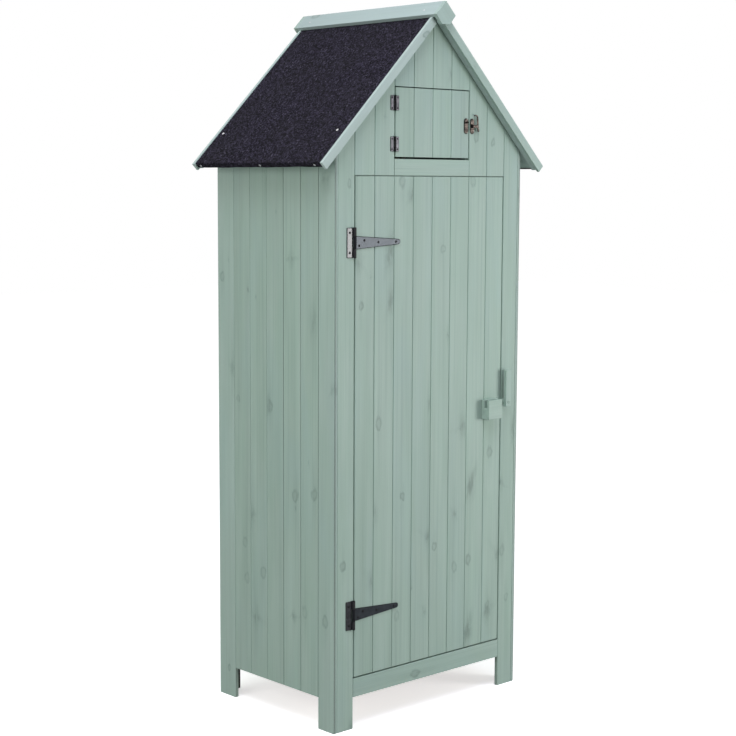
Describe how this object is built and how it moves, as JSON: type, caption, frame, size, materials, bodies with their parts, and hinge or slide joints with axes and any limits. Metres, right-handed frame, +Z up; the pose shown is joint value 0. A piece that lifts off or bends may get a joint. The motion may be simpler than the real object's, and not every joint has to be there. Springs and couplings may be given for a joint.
{
  "type": "tool shed",
  "caption": "Tall narrow garden tool shed with a steep felted gable roof, a boarded door on strap hinges, a small gable hatch, shelves inside and corner legs.",
  "frame": {"origin": "floor under the centre of the shed", "axes": "+X to the right seen from the front, +Y to the back, +Z up"},
  "size_m": [0.7756, 0.54, 1.79],
  "materials": {
    "painted_wood": "satin grey-green paint",
    "bare_wood": "planed softwood",
    "roof_felt": "mineral-surfaced roofing felt",
    "black_steel": "gloss black",
    "hinge_steel": "darkened steel",
    "bronze": "dark antique bronze",
    "nail_steel": "galvanised"
  },
  "bodies": {
    "shed": {"front_stile_left": "painted_wood", "front_stile_right": "painted_wood", "front_rail": "painted_wood", "gable_boards": "painted_wood", "hatch_sill": "painted_wood", "side_boards_left": "painted_wood", "side_boards_right": "painted_wood", "side_legs_left": "painted_wood", "side_legs_right": "painted_wood", "back_boards": "painted_wood", "back_legs": "painted_wood", "corner_posts": "bare_wood", "side_battens": "bare_wood", "head_batten": "painted_wood", "back_battens": "bare_wood", "door_stops": "painted_wood", "hatch_stops": "painted_wood", "floor_joists": "bare_wood", "floor_boards": "bare_wood", "shelf_battens": "bare_wood", "shelf_lower": "bare_wood", "shelf_upper": "bare_wood", "loft_boards": "bare_wood", "ridge_beam": "bare_wood", "roof_boards_left": "painted_wood", "roof_boards_right": "painted_wood", "felt_left": "roof_felt", "felt_right": "roof_felt", "verge_battens": "painted_wood", "bargeboard_front_left": "painted_wood", "bargeboard_front_right": "painted_wood", "bargeboard_back_left": "painted_wood", "bargeboard_back_right": "painted_wood", "ridge_cap_left": "painted_wood", "ridge_cap_right": "painted_wood", "ridge_ends": "painted_wood", "roof_nails": "nail_steel", "hinge_leaves": "black_steel", "hinge_pins": "black_steel", "leaf_screws": "black_steel", "button_pivot": "painted_wood", "hatch_fixed_leaves": "hinge_steel", "hatch_pins": "black_steel", "hatch_fixed_screws": "black_steel", "hook_plate": "bronze", "hook_screws": "bronze"},
    "door": {"door_planks": "painted_wood", "door_ledges": "bare_wood", "door_braces": "bare_wood", "hinge_straps": "black_steel", "strap_screws_set": "black_steel", "latch_block": "painted_wood"},
    "hatch": {"hatch_planks": "painted_wood", "hatch_ledges": "bare_wood", "hatch_moving_leaves": "hinge_steel", "hatch_moving_screws": "black_steel", "hatch_catch": "bronze", "catch_screws": "bronze"},
    "button": {"turn_button": "painted_wood"},
    "hook": {"hook_arm": "bronze"}
  },
  "joints": [
    {"name": "door_swing", "type": "hinge", "parent": "shed", "child": "door", "pos_m": [-0.265, -0.2318, 0.127], "axis": [0, 0, -1], "range_deg": [0, 110]},
    {"name": "hatch_swing", "type": "hinge", "parent": "shed", "child": "hatch", "pos_m": [-0.132, -0.2304, 1.4], "axis": [0, 0, -1], "range_deg": [0, 110]},
    {"name": "button_turn", "type": "hinge", "parent": "shed", "child": "button", "pos_m": [0.2715, -0.242, 0.773], "axis": [0, -1, 0], "range_deg": [0, 90]},
    {"name": "hook_turn", "type": "hinge", "parent": "shed", "child": "hook", "pos_m": [0.1395, -0.2332, 1.49], "axis": [0, -1, 0], "range_deg": [0, 90]}
  ]
}
